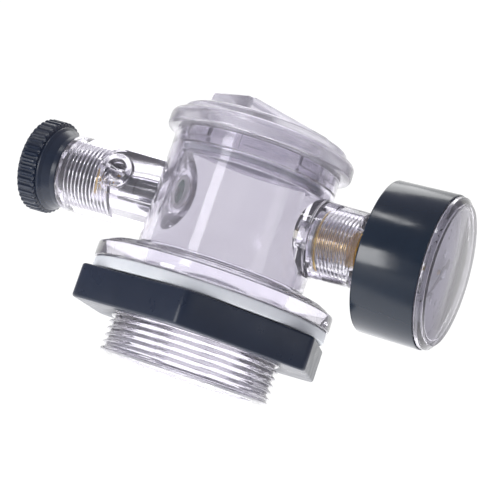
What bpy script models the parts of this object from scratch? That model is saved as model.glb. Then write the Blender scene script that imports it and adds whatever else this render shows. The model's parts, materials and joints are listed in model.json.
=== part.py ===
"""An adjustable carbon dioxide pressure relief head for a brewing vessel, with its pressure gauge.

Z is the axis of the chamber and of the threaded stub, and z = 0 is the open end of the stub.
X is the axis of the side tubes: the adjusting knob is at -X and the gauge at +X.
The sizes below are in millimetres and become metres when a mesh is made.
"""

import math

import bmesh
import bpy
from mathutils import Matrix, Vector

MM = 0.001
GAP = 0.3  # between pieces that touch on the real object
MERGE = 1e-5  # metres, for points that meet on a turning axis
UP = "Z"
ALONG = "X"

# Chamber, flange and G2 stub
CHAMBER_R, CHAMBER_BORE_R = 29.5, 25.5
STUB_R, STUB_BORE_R = 29.8, 24.4
THREAD_PITCH, THREAD_DEPTH = 2.309, 1.48
THREAD_START, THREAD_TURNS = 0.8, 9
NUT_BOTTOM, NUT_TOP = 13.5, 25.2
GASKET_TOP = 29.4
FLANGE_R, FLANGE_BOTTOM, FLANGE_TOP = 41.8, 29.7, 37.0
MOUTH_Z, MOUTH_R, MOUTH_STEP_Z = 80.2, 27.6, 74.9
NUT_FLATS, NUT_ANGLE, NUT_EDGE = 80.5, 43.8, 1.2

# Lid and its bayonet
LID_R, LID_BOTTOM, LID_TOP = 33.0, 80.5, 86.5
TIER_R, TIER_TOP, CROWN_Z = 29.2, 89.8, 90.5
SKIRT_R, SKIRT_BORE_R, SKIRT_END = 25.2, 21.0, 71.0
RING_GROOVE = (72.0, 74.6)
LUG_COUNT, LUG_SPREAD = 8, 19.9
BODY_LUG = (77.3, MOUTH_Z)
LID_LUG = (75.2, 77.0)
GRIP_ANGLE, GRIP_TOP = 64.5, 95.0
GRIP_LENGTH, GRIP_WIDTH, GRIP_CORNER = 40.2, 21.0, 1.6
LUG_ANGLE = 18.0

# Side tubes
AXIS_Z = 58.0
TUBE_R, TUBE_END = 13.6, -65.6
WALL_X = 26.0
ADJUSTER_BORE_R, ADJUSTER_BORE_END = 7.0, -46.0
VALVE_BORE_R, VALVE_BORE_END = 5.3, -25.6
NOSE_R, NOSE_END, NOSE_HOLE_R = 7.6, -23.9, 6.1
PORT_ROOT_R, PORT_R, PORT_STEP, PORT_END = 13.6, 12.9, 30.6, 46.9
PORT_SINK_R, PORT_SINK = 9.0, 2.0
PORT_BORE_R, PORT_BORE_END, PORT_HOLE_R = 6.9, 30.0, 3.0
BOSS_X, BOSS_RISE, BOSS_R, BOSS_BORE_R, BOSS_FRONT = -41.6, 2.2, 6.1, 3.2, -16.5
BOSS_SINK_R, BOSS_SINK = 4.2, 1.0
PAD_HALF, PAD_FRONT, PAD_BACK, PAD_END = 8.0, -14.4, -7.5, -24.8

# Adjusting knob, spring and valve
KNOB_END, KNOB_SHOULDER, KNOB_FACE = -79.4, -72.6, TUBE_END - GAP
KNOB_R, KNOB_RIBS, RIB_DEPTH = 16.7, 42, 0.7
SCREW_R, SCREW_END = 6.7, -52.3
SCREW_PITCH, SCREW_DEPTH, SCREW_TURNS = 1.5, 0.8, 8
SPRING_R, WIRE_R, SPRING_TURNS = 2.9, 0.42, 7
SPRING_FROM, SPRING_TO = -50.3, -38.5
PISTON_R, PISTON_BACK, PISTON_FACE = 4.8, -43.0, -27.4
SEAL_R, SEAL_X = 4.9, (-27.1, -25.6)
SEAT_R, SEAT_HOLE_R, SEAT_X = 5.8, 4.2, (-25.3, -23.9)

# Pressure gauge
CASE_BACK, CASE_FRONT, CASE_BACK_R, CASE_R, CASE_WALL = 52.8, 74.3, 25.7, 26.05, 2.1
LENS_R, LENS_FRONT, LENS_SKIRT_R = 25.6, 77.6, 23.5
DIAL_R, DIAL_X = 23.3, (69.5, 70.1)
STEM_R, STEM_END = 6.58, 31.6
POINTER_X, POINTER_LENGTH = (72.0, 72.4), 17.5
PLATE_X = ((58.6, 59.6), (65.8, 66.8))
PLATE_HALF_Y, PLATE_LOW, PLATE_HIGH = 8.5, -14.7, 8.0
PILLAR_YZ = ((6.6, 5.6), (-6.6, 5.6))
MODULE, PINION_TEETH, GEAR_RATIO = 0.3, 9, 8
TOOTH_SHARE = 0.34  # of the pitch, so that the teeth run with backlash
POINTER_SWEEP = 270.0
SECTOR_SWEEP = POINTER_SWEEP / GEAR_RATIO
TAIL_R = 4.5
PINION_R, SHAFT_R, RUNNING = 0.75, 0.9, 0.08
COIL_R, COIL_THICK, COIL_X = 18.5, 2.0, (60.4, 65.2)
COIL_FROM, COIL_TO = -112.0, -380.0
TIP_PIN_YZ = (14.5, -9.2)
TIP_SWING_YZ = (-6.0, -4.0)  # the point that the tip turns about as the coil opens
CASE_SCREW_YZ = ((4.0, -10.5), (-4.0, -10.5))
DIAL_SCREW_YZ = ((0.0, 6.4), (0.0, -9.6))
STOP_YZ = (-6.7, -8.73)

PARTS = bpy.data.collections.new("carbon_dioxide_regulator")
CUTTERS = bpy.data.collections.new("cutters")


def clear_scene():
    for found in list(bpy.data.objects):
        bpy.data.objects.remove(found)
    bpy.context.scene.collection.children.link(PARTS)
    bpy.context.scene.collection.children.link(CUTTERS)


def make_material(name, colour, roughness, metallic=0.0, transmission=0.0):
    material = bpy.data.materials.new(name)
    material.use_nodes = True
    shader = material.node_tree.nodes["Principled BSDF"]
    shader.inputs["Base Color"].default_value = (*colour, 1.0)
    shader.inputs["Roughness"].default_value = roughness
    shader.inputs["Metallic"].default_value = metallic
    shader.inputs["Transmission Weight"].default_value = transmission
    return material


CLEAR = make_material("clear_plastic", (0.93, 0.92, 0.96), 0.03, transmission=1.0)
DARK = make_material("dark_plastic", (0.03, 0.042, 0.06), 0.35)
GREY = make_material("grey_plastic", (0.06, 0.075, 0.075), 0.4)
WHITE = make_material("white_rubber", (0.85, 0.87, 0.88), 0.5)
GREEN = make_material("green_rubber", (0.02, 0.22, 0.13), 0.45)
NYLON = make_material("white_nylon", (0.82, 0.82, 0.8), 0.4)
BRASS = make_material("brass", (0.72, 0.5, 0.2), 0.25, metallic=1.0)
STEEL = make_material("steel", (0.62, 0.63, 0.65), 0.25, metallic=1.0)
DIAL = make_material("dial_white", (0.8, 0.8, 0.82), 0.4)
BLACK = make_material("black_paint", (0.02, 0.02, 0.02), 0.4)


# ---- Making shapes -------------------------------------------------------------------------

def finish(shape, material, smooth_angle=40.0):
    """Gives a new piece its colour, its shading and its place in the parts collection."""
    if shape.type == "MESH":
        shape.data.shade_smooth()
        shape.data.set_sharp_from_angle(angle=math.radians(smooth_angle))
    shape.data.materials.append(material)
    PARTS.objects.link(shape)
    return shape


def as_cutter(shape):
    shape.hide_render = True
    shape.display_type = "WIRE"
    CUTTERS.objects.link(shape)
    return shape


def point_along(shape, axis, place):
    """Puts the shape's own Z on a world axis, with its origin at place."""
    turn = {
        "Z": Matrix.Identity(3),
        "X": Matrix.Rotation(math.pi / 2, 3, "Y"),
        "-Y": Matrix.Rotation(math.pi / 2, 3, "X"),
    }[axis]
    shape.matrix_world = Matrix.Translation(Vector(place) * MM) @ turn.to_4x4()
    return shape


def turned(name, profile, axis=UP, place=(0, 0, 0), steps=48, spin=0.0):
    """A solid of revolution. The profile is (radius, height), down its outer side, and it closes
    on itself or on the axis. spin keeps the corners of crossing tubes apart."""
    c, s = math.cos(spin) * MM, math.sin(spin) * MM
    mesh = bpy.data.meshes.new(name)
    shaft = [p for p in profile if p[0] == 0]
    edges = [(i, i + 1) for i in range(len(profile) - 1)]
    if len(shaft) < 2:
        edges.append((len(profile) - 1, 0))
    mesh.from_pydata([(r * c, r * s, h * MM) for r, h in profile], edges, [])
    shape = bpy.data.objects.new(name, mesh)
    screw = shape.modifiers.new("turn", "SCREW")
    screw.steps = screw.render_steps = steps
    screw.use_merge_vertices = True
    screw.merge_threshold = MERGE
    screw.use_smooth_shade = True
    point_along(shape, axis, place)
    return shape


def ring(outer, inner, low, high, edge=0.0):
    """Profile of a tube, with its outer edges broken by edge."""
    if edge:
        outside = [(outer - edge, high), (outer, high - edge), (outer, low + edge), (outer - edge, low)]
    else:
        outside = [(outer, high), (outer, low)]
    return outside + [(inner, low), (inner, high)]


def rod(radius, low, high, edge=0.0):
    """Profile of a solid cylinder, with its edges broken by edge."""
    if edge:
        side = [(radius - edge, high), (radius, high - edge), (radius, low + edge), (radius - edge, low)]
    else:
        side = [(radius, high), (radius, low)]
    return [(0, high)] + side + [(0, low)]


def torus_profile(centre_r, centre_h, radius, points=8):
    turn = [math.tau * k / points for k in range(points)]
    return [(centre_r + radius * math.cos(a), centre_h - radius * math.sin(a)) for a in turn]


def grooves(radius, depth, pitch, count, first):
    """The outer side of a thread drawn as plain grooves, listed from the lowest one up."""
    side = []
    for k in range(count):
        base = first + k * pitch
        side += [(radius, base), (radius - depth, base + pitch * 0.5), (radius, base + pitch)]
    return [p for i, p in enumerate(side) if i == 0 or p != side[i - 1]]


def mesh_from_curve(name, curve):
    """The closed mesh of a curve object, which leaves the scene."""
    bpy.context.scene.collection.objects.link(curve)
    bpy.context.view_layer.update()
    graph = bpy.context.evaluated_depsgraph_get()
    mesh = bpy.data.meshes.new_from_object(curve.evaluated_get(graph))
    place = curve.matrix_world.copy()
    bpy.data.objects.remove(curve)
    work = bmesh.new()
    work.from_mesh(mesh)
    bmesh.ops.remove_doubles(work, verts=work.verts, dist=MERGE)
    bmesh.ops.recalc_face_normals(work, faces=work.faces)
    work.to_mesh(mesh)
    work.free()
    shape = bpy.data.objects.new(name, mesh)
    shape.matrix_world = place
    return shape


def extruded(name, outline, low, high, axis=ALONG, holes=(), place=(0, 0, AXIS_Z), edge=0.0):
    """A flat outline, given across the axis, made into a plate from low to high along it."""
    data = bpy.data.curves.new(name, "CURVE")
    data.dimensions = "2D"
    data.fill_mode = "BOTH"
    data.extrude = (high - low) / 2 * MM - edge * MM
    data.bevel_depth = edge * MM
    data.bevel_resolution = 0
    data.offset = -edge * MM
    for loop in [outline, *holes]:
        spline = data.splines.new("POLY")
        spline.points.add(len(loop) - 1)
        for point, (a, b) in zip(spline.points, loop):
            point.co = (a * MM, b * MM, 0, 1)
        spline.use_cyclic_u = True
    curve = bpy.data.objects.new(name, data)
    middle = (low + high) / 2
    if axis == ALONG:
        # The outline's (y, z) lie across X.
        turn = Matrix(((0, 0, 1), (1, 0, 0), (0, 1, 0)))
        curve.matrix_world = Matrix.Translation(Vector(place) * MM) @ turn.to_4x4()
        shift = Vector((middle * MM, 0, 0))
    else:
        curve.matrix_world = Matrix.Translation(Vector(place) * MM)
        shift = Vector((0, 0, middle * MM))
    curve.matrix_world = Matrix.Translation(shift) @ curve.matrix_world
    return mesh_from_curve(name, curve)


def circle(radius, centre=(0.0, 0.0), points=16):
    turn = [math.tau * k / points for k in range(points)]
    return [(centre[0] + radius * math.cos(a), centre[1] + radius * math.sin(a)) for a in turn]


def arc(radius, start, end, points, centre=(0.0, 0.0)):
    turn = [math.radians(start + (end - start) * k / (points - 1)) for k in range(points)]
    return [(centre[0] + radius * math.cos(a), centre[1] + radius * math.sin(a)) for a in turn]


def wire(name, route, radius, sides=1):
    """A round wire along a list of points in millimetres."""
    data = bpy.data.curves.new(name, "CURVE")
    data.dimensions = "3D"
    data.bevel_depth = radius * MM
    data.bevel_resolution = sides
    data.use_fill_caps = True
    spline = data.splines.new("POLY")
    spline.points.add(len(route) - 1)
    for point, place in zip(spline.points, route):
        point.co = (*(Vector(place) * MM), 1)
    return mesh_from_curve(name, bpy.data.objects.new(name, data))


def set_origin(shape, place):
    """Puts the origin of a moving piece on its own axis, and leaves the shape where it is."""
    centre = Matrix.Translation(Vector(place) * MM)
    shape.data.transform(centre.inverted() @ shape.matrix_world)
    shape.matrix_world = centre


def boolean(shape, other, operation):
    step = shape.modifiers.new(operation.lower(), "BOOLEAN")
    step.operation = operation
    step.object = as_cutter(other)
    step.solver = "EXACT"


def cut(shape, *others):
    for other in others:
        boolean(shape, other, "DIFFERENCE")


def join(shape, *others):
    for other in others:
        boolean(shape, other, "UNION")


def rounded(shape, width, segments=1, angle=35.0):
    bevel = shape.modifiers.new("edges", "BEVEL")
    bevel.width = width * MM
    bevel.segments = segments
    bevel.limit_method = "ANGLE"
    bevel.angle_limit = math.radians(angle)


def wedge(inner, outer, middle, spread, points=3):
    """Outline of a piece of a ring, round the Z axis."""
    start, end = middle - spread / 2, middle + spread / 2
    return arc(outer, start, end, points) + arc(inner, end, start, points)


def lugs(name, inner, outer, heights):
    for k in range(LUG_COUNT):
        middle = LUG_ANGLE + 360 / LUG_COUNT * k
        outline = wedge(inner, outer, middle, LUG_SPREAD)
        yield extruded(f"{name}_{k}", outline, *heights, axis=UP, place=(0, 0, 0))


# ---- The vessel fitting --------------------------------------------------------------------

def make_valve_body():
    thread = grooves(STUB_R, THREAD_DEPTH, THREAD_PITCH, THREAD_TURNS, THREAD_START)
    outside = [
        (CHAMBER_R, MOUTH_Z),
        (CHAMBER_R, FLANGE_TOP + 3),
        (CHAMBER_R + 0.8, FLANGE_TOP + 1),
        (CHAMBER_R + 2.6, FLANGE_TOP),
        (FLANGE_R - 3.4, FLANGE_TOP),
        (FLANGE_R - 3.0, FLANGE_TOP - 0.6),
        (FLANGE_R - 1.4, FLANGE_TOP - 0.9),
        (FLANGE_R, FLANGE_TOP - 2.6),
        (FLANGE_R, FLANGE_BOTTOM + 0.5),
        (FLANGE_R - 0.5, FLANGE_BOTTOM),
        (STUB_R, FLANGE_BOTTOM),
    ]
    inside = [
        (STUB_R - THREAD_DEPTH, 0),
        (STUB_BORE_R, 0),
        (STUB_BORE_R, FLANGE_BOTTOM),
        (CHAMBER_BORE_R, FLANGE_TOP),
        (CHAMBER_BORE_R, MOUTH_STEP_Z),
        (MOUTH_R, MOUTH_STEP_Z),
        (MOUTH_R, MOUTH_Z),
    ]
    body = turned("valve_body", outside + thread[::-1] + inside, steps=40)
    tube = turned("tube", rod(TUBE_R, TUBE_END, -WALL_X, 0.4), ALONG, (0, 0, AXIS_Z), 32, 0.11)
    nose = turned("nose", rod(NOSE_R, -WALL_X - 3, NOSE_END), ALONG, (0, 0, AXIS_Z), 20, 0.07)
    port_profile = [
        (0, PORT_END),
        (PORT_R - 1, PORT_END),
        (PORT_R, PORT_END - 1),
        (PORT_R + 0.3, PORT_STEP + 0.4),
        (PORT_ROOT_R, PORT_STEP),
        (PORT_ROOT_R, WALL_X),
        (0, WALL_X),
    ]
    port = turned("port", port_profile, ALONG, (0, 0, AXIS_Z), 28, 0.09)
    boss_z = AXIS_Z + BOSS_RISE
    boss = turned("boss", rod(BOSS_R, 9, -BOSS_FRONT, 0.4), "-Y", (BOSS_X, 0, boss_z), 20, 0.1)
    pad_end = [(PAD_END, boss_z - PAD_HALF), (PAD_END, boss_z + PAD_HALF)]
    pad = make_pad(arc(PAD_HALF, 90, 270, 11, (BOSS_X, boss_z)) + pad_end)
    join(body, tube, nose, port, boss, pad, *lugs("body_lug", SKIRT_R + 0.5, 28.5, BODY_LUG))
    left = [
        (0, NOSE_END + 1),
        (NOSE_HOLE_R, NOSE_END + 1),
        (NOSE_HOLE_R, VALVE_BORE_END),
        (VALVE_BORE_R, VALVE_BORE_END),
        (VALVE_BORE_R, ADJUSTER_BORE_END),
        (ADJUSTER_BORE_R, ADJUSTER_BORE_END),
        (ADJUSTER_BORE_R, TUBE_END - 1),
        (0, TUBE_END - 1),
    ]
    right = [
        (0, PORT_END + 1),
        (PORT_SINK_R, PORT_END + 1),
        (PORT_SINK_R, PORT_END),
        (PORT_BORE_R, PORT_END - PORT_SINK),
        (PORT_BORE_R, PORT_BORE_END),
        (PORT_HOLE_R, PORT_BORE_END),
        (PORT_HOLE_R, WALL_X - 4),
        (0, WALL_X - 4),
    ]
    for name, profile in {"valve_bores": left, "gauge_bores": right}.items():
        cut(body, turned(name, profile, ALONG, (0, 0, AXIS_Z), 20, 0.05))
    vent = [
        (0, 1 - BOSS_FRONT),
        (BOSS_SINK_R, 1 - BOSS_FRONT),
        (BOSS_SINK_R, -BOSS_FRONT),
        (BOSS_BORE_R, -BOSS_FRONT - BOSS_SINK),
        (BOSS_BORE_R, BOSS_RISE),
        (0, BOSS_RISE),
    ]
    cut(body, turned("vent_bore", vent, "-Y", (BOSS_X, 0, boss_z), 16, 0.13))
    finish(body, CLEAR)


def make_pad(outline):
    """The pad behind the vent boss, round at one end, which runs into the chamber's wall."""
    data = bpy.data.curves.new("pad", "CURVE")
    data.dimensions = "2D"
    data.fill_mode = "BOTH"
    depth = PAD_BACK - PAD_FRONT
    data.extrude = depth / 2 * MM
    spline = data.splines.new("POLY")
    spline.points.add(len(outline) - 1)
    for point, (x, z) in zip(spline.points, outline):
        point.co = (x * MM, z * MM, 0, 1)
    spline.use_cyclic_u = True
    curve = bpy.data.objects.new("pad", data)
    middle = (PAD_FRONT + depth / 2) * MM
    curve.matrix_world = Matrix.Translation((0, middle, 0)) @ Matrix.Rotation(math.pi / 2, 4, "X")
    return mesh_from_curve("pad", curve)


def make_lid():
    """A twist-off cap: a low dome with a broad grip, and a skirt with the sealing ring's groove."""
    low, high = RING_GROOVE
    profile = [
        (0, CROWN_Z),
        (16, CROWN_Z - 0.2),
        (TIER_R - 1.8, TIER_TOP),
        (TIER_R - 0.4, TIER_TOP - 0.7),
        (TIER_R, TIER_TOP - 1.6),
        (TIER_R, LID_TOP + 0.2),
        (LID_R - 2, LID_TOP),
        (LID_R - 0.5, LID_TOP - 0.8),
        (LID_R, LID_TOP - 2.2),
        (LID_R, LID_BOTTOM + 1.4),
        (LID_R - 0.6, LID_BOTTOM),
        (SKIRT_R, LID_BOTTOM),
        (SKIRT_R, high),
        (SKIRT_R - 2, high),
        (SKIRT_R - 2, low),
        (SKIRT_R, low),
        (SKIRT_R, SKIRT_END),
        (SKIRT_BORE_R, SKIRT_END),
        (SKIRT_BORE_R, TIER_TOP - 4.2),
        (SKIRT_BORE_R - 1.4, TIER_TOP - 2.8),
        (0, CROWN_Z - 2.8),
    ]
    lid = turned("lid", profile)
    corners = []
    for k, (side, end) in enumerate(((1, 1), (-1, 1), (-1, -1), (1, -1))):
        middle = (side * (GRIP_LENGTH / 2 - GRIP_CORNER), end * (GRIP_WIDTH / 2 - GRIP_CORNER))
        corners += arc(GRIP_CORNER, 90 * k, 90 * k + 90, 4, middle)
    grip = extruded("grip", corners, TIER_TOP - 1, GRIP_TOP, axis=UP, place=(0, 0, 0))
    rounded(grip, 0.7, 2)
    grip.matrix_world = Matrix.Rotation(math.radians(GRIP_ANGLE), 4, "Z") @ grip.matrix_world
    join(lid, grip, *lugs("lid_lug", SKIRT_R - 1, MOUTH_R - 0.4, LID_LUG))
    finish(lid, CLEAR)


def make_lid_o_ring():
    minor = 0.85
    middle = sum(RING_GROOVE) / 2
    centre = CHAMBER_BORE_R - GAP - minor
    finish(turned("lid_o_ring", torus_profile(centre, middle, minor), steps=32), WHITE)


def make_lock_nut():
    height = NUT_TOP - NUT_BOTTOM
    mesh = bpy.data.meshes.new("lock_nut")
    work = bmesh.new()
    corner = NUT_FLATS / 2 / math.cos(math.pi / 6) * MM
    bmesh.ops.create_cone(
        work, cap_ends=True, segments=6, radius1=corner, radius2=corner, depth=height * MM
    )
    # The cone's own corners start on the Y axis.
    turn = Matrix.Rotation(math.radians(NUT_ANGLE - 30), 3, "Z")
    bmesh.ops.rotate(work, verts=work.verts, matrix=turn)
    work.to_mesh(mesh)
    work.free()
    nut = bpy.data.objects.new("lock_nut", mesh)
    nut.location.z = (NUT_BOTTOM + NUT_TOP) / 2 * MM
    rounded(nut, NUT_EDGE, 2)
    bore = STUB_R + GAP
    cutter = [
        (0, NUT_TOP + 1),
        (bore + 2.2, NUT_TOP + 1),
        (bore, NUT_TOP - 1.2),
        (bore, NUT_BOTTOM + 1.2),
        (bore + 2.2, NUT_BOTTOM - 1),
        (0, NUT_BOTTOM - 1),
    ]
    cut(nut, turned("nut_bore", cutter))
    finish(nut, DARK)


def make_flange_gasket():
    profile = ring(FLANGE_R - 0.6, STUB_R + GAP, NUT_TOP + GAP, GASKET_TOP, 0.4)
    finish(turned("flange_gasket", profile), WHITE)


# ---- The relief valve ----------------------------------------------------------------------

def make_adjusting_knob():
    first = KNOB_FACE + 0.9
    thread = grooves(SCREW_R, SCREW_DEPTH, SCREW_PITCH, SCREW_TURNS, first)
    profile = [
        (0, SCREW_END),
        (SCREW_R - SCREW_DEPTH, SCREW_END),
        *thread[::-1],
        (SCREW_R - SCREW_DEPTH, KNOB_FACE + 0.5),
        (SCREW_R - SCREW_DEPTH, KNOB_FACE),
        (TUBE_R - 0.2, KNOB_FACE),
        (TUBE_R, KNOB_FACE - 0.6),
        (TUBE_R + 0.5, KNOB_FACE - 3.6),
        (TUBE_R + 1.7, KNOB_FACE - 5.6),
        (KNOB_R - RIB_DEPTH - 0.3, KNOB_SHOULDER),
        (KNOB_R - RIB_DEPTH - 0.3, KNOB_END + 0.5),
        (KNOB_R - RIB_DEPTH - 1.2, KNOB_END),
        (0, KNOB_END),
    ]
    knob = turned("adjusting_knob", profile, ALONG, (0, 0, AXIS_Z), 24)
    low_r = KNOB_R - RIB_DEPTH
    rib = ((0.0, KNOB_R), (0.42, KNOB_R), (0.56, low_r), (0.86, low_r))
    outline = []
    for k in range(KNOB_RIBS):
        for share, radius in rib:
            angle = math.tau / KNOB_RIBS * (k + share)
            outline.append((radius * math.cos(angle), radius * math.sin(angle)))
    rim = extruded("knob_rim", outline, KNOB_END + 0.35, KNOB_SHOULDER - 0.2)
    join(knob, rim)
    finish(knob, DARK)


def make_spring_seat():
    disc = SCREW_END + GAP
    profile = [
        (0, disc + 4.6),
        (1.5, disc + 4.6),
        (2.0, disc + 4.0),
        (2.0, disc + 1.2),
        (4.6, disc + 1.2),
        (4.6, disc),
        (0, disc),
    ]
    finish(turned("spring_seat", profile, ALONG, (0, 0, AXIS_Z), 16), BRASS)


def make_valve_spring():
    count = SPRING_TURNS * 10
    start, end = SPRING_FROM + WIRE_R, SPRING_TO - WIRE_R
    route = []
    for k in range(count + 1):
        turn = math.tau * SPRING_TURNS * k / count
        x = start + (end - start) * k / count
        route.append((x, SPRING_R * math.cos(turn), AXIS_Z + SPRING_R * math.sin(turn)))
    finish(wire("valve_spring", route, WIRE_R), STEEL)


def make_valve_piston():
    pocket = PISTON_BACK + 5.0
    waist = -36.4
    profile = [
        (0, SEAL_X[1] - 0.5),
        (1.4, SEAL_X[1] - 0.5),
        (1.4, PISTON_FACE),
        (PISTON_R - 0.4, PISTON_FACE),
        (PISTON_R, PISTON_FACE - 0.4),
        (PISTON_R, waist + 0.8),
        (PISTON_R - 1.1, waist + 0.8),
        (PISTON_R - 1.1, waist - 0.8),
        (PISTON_R, waist - 0.8),
        (PISTON_R, PISTON_BACK + 0.4),
        (PISTON_R - 0.4, PISTON_BACK),
        (SPRING_R + WIRE_R + 0.5, PISTON_BACK),
        (SPRING_R + WIRE_R + 0.5, pocket),
        (0, pocket),
    ]
    finish(turned("valve_piston", profile, ALONG, (0, 0, AXIS_Z), 24), GREY)


def make_valve_rings():
    place = (0, 0, AXIS_Z)
    seal = ring(SEAL_R, 1.4 + GAP, *SEAL_X)
    finish(turned("poppet_seal", seal, ALONG, place, 24), GREEN)
    seat = ring(SEAT_R, SEAT_HOLE_R, *SEAT_X)
    finish(turned("seat_ring", seat, ALONG, place, 24), NYLON)


# ---- The pressure gauge --------------------------------------------------------------------

def make_gauge_stem():
    """Brass stem, with the block inside the case that carries the coil and the movement."""
    exposed = grooves(STEM_R, 0.7, 1.337, 4, PORT_END + 0.1)
    bore = 1.6
    profile = [
        (STEM_R, CASE_BACK + 2.6),
        *exposed[::-1],
        (STEM_R, STEM_END + 1),
        (STEM_R - 1, STEM_END),
        (2.2, STEM_END),
        (2.2, STEM_END + 4),
        (bore, STEM_END + 4),
        (bore, CASE_BACK + 2.6),
    ]
    stem = turned("gauge_stem", profile, ALONG, (0, 0, AXIS_Z), 24)
    block_low, block_high = CASE_BACK + CASE_WALL + GAP, PLATE_X[0][0] - GAP
    block = extruded("block", [(-6, -17.5), (6, -17.5), (6, 7), (-6, 7)], block_low, block_high)
    start = COIL_FROM + 1.2
    arm = arc(COIL_R + 2, start, start + 36, 6) + arc(COIL_R - 2.2, start + 36, start, 6)
    holder = extruded("holder", arm, block_low, COIL_X[1] + 0.3)
    join(stem, block, holder)
    for y, z in CASE_SCREW_YZ:
        hole = rod(1.3, block_low - 1, block_high - 0.6)
        cut(stem, turned("screw_hole", hole, ALONG, (0, y, AXIS_Z + z), 10))
    finish(stem, BRASS)


def make_stem_fittings():
    place = (0, 0, AXIS_Z)
    seal = ring(STEM_R - 0.2, PORT_HOLE_R + 0.4, PORT_BORE_END + GAP, STEM_END - GAP)
    finish(turned("stem_seal", seal, ALONG, place, 16), WHITE)
    plug = ring(1.85, 0.5, STEM_END + 0.4, STEM_END + 3.6)
    finish(turned("restrictor_screw", plug, ALONG, place, 12), BRASS)


def make_gauge_case():
    floor = CASE_BACK + CASE_WALL
    bore = CASE_R - CASE_WALL
    profile = [
        (CASE_R - 0.3, CASE_FRONT),
        (CASE_R, CASE_FRONT - 0.3),
        (CASE_BACK_R, CASE_BACK + 1.4),
        (CASE_BACK_R - 0.4, CASE_BACK + 0.4),
        (CASE_BACK_R - 1.4, CASE_BACK),
        (STEM_R + GAP + 0.1, CASE_BACK),
        (STEM_R + GAP + 0.1, floor),
        (bore, floor),
        (bore, CASE_FRONT),
    ]
    case = turned("gauge_case", profile, ALONG, (0, 0, AXIS_Z))
    for y, z in CASE_SCREW_YZ:
        hole = rod(1.5, CASE_BACK - 1, floor + 1)
        cut(case, turned("case_hole", hole, ALONG, (0, y, AXIS_Z + z), 10))
    finish(case, DARK)


def make_gauge_lens():
    seat = CASE_FRONT + GAP
    profile = [
        (0, LENS_FRONT),
        (LENS_R - 1.8, LENS_FRONT),
        (LENS_R - 0.3, LENS_FRONT - 1.0),
        (LENS_R, LENS_FRONT - 1.8),
        (LENS_R, seat),
        (LENS_SKIRT_R, seat),
        (LENS_SKIRT_R, DIAL_X[1] + GAP),
        (LENS_SKIRT_R - 1.4, DIAL_X[1] + GAP),
        (LENS_SKIRT_R - 1.4, LENS_FRONT - 2.0),
        (0, LENS_FRONT - 2.0),
    ]
    finish(turned("gauge_lens", profile, ALONG, (0, 0, AXIS_Z)), CLEAR)


def make_gauge_dial():
    holes = [circle(1.5, points=12)]
    holes += [circle(0.9, yz, 8) for yz in (*DIAL_SCREW_YZ, STOP_YZ)]
    finish(extruded("gauge_dial", circle(DIAL_R, points=48), *DIAL_X, holes=holes), DIAL)


def turned_about(angle, points, centre=(0.0, 0.0)):
    c, s = math.cos(math.radians(angle)), math.sin(math.radians(angle))
    return [
        (centre[0] + c * y - s * z, centre[1] + s * y + c * z)
        for y, z in points
    ]


def make_gauge_pointer():
    """The pointer at rest lies on the zero of the dial, 225 degrees round from +Y."""
    blade = [(2.2, 0.9), (POINTER_LENGTH, 0.25), (POINTER_LENGTH, -0.25), (2.2, -0.9)]
    hub = arc(2.4, -22, -158, 6)
    tail = [(-7.0, -1.3), (-7.0, 1.3)]
    outline = turned_about(225, blade + hub + tail + arc(2.4, 158, 22, 6))
    pointer = extruded("gauge_pointer", outline, *POINTER_X, holes=[circle(1.05, points=10)])
    finish(pointer, BLACK)


def gear_teeth(teeth, radius, first, last, closing=()):
    """Outline of gear teeth, from tooth number first to last, then the points that close it."""
    flank = [(0.42, -1.25), (TOOTH_SHARE / 2, 0.0), (0.09, 0.9)]
    tooth = [(-share, reach) for share, reach in flank] + flank[::-1]
    outline = []
    for k in range(first, last):
        for share, reach in tooth:
            angle = math.tau / teeth * (k + share)
            r = radius + reach * MODULE
            outline.append((r * math.cos(angle), r * math.sin(angle)))
    return [*outline, *closing]


def make_pinion_shaft():
    """The shaft turns in both plates and carries the pointer, with the pinion between the plates."""
    length = rod(PINION_R, PLATE_X[0][0] - 0.1, POINTER_X[1] + 0.5)
    shaft = turned("pinion_shaft", length, ALONG, (0, 0, AXIS_Z), 12)
    # A gap, and not a tooth, faces the sector below.
    turn = -90 + 180 / PINION_TEETH
    teeth = gear_teeth(PINION_TEETH, MODULE * PINION_TEETH / 2, 0, PINION_TEETH)
    outline = turned_about(turn, teeth)
    join(shaft, extruded("pinion", outline, 61.8, 64.2))
    finish(shaft, BRASS)


def sector_pivot():
    return (0.0, -MODULE * PINION_TEETH / 2 * (GEAR_RATIO + 1))


def tail_pin():
    """The pin on the sector's tail, at rest."""
    angle = math.radians(-SECTOR_SWEEP / 2)
    y, z = sector_pivot()
    return (y + TAIL_R * math.cos(angle), z + TAIL_R * math.sin(angle))


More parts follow.
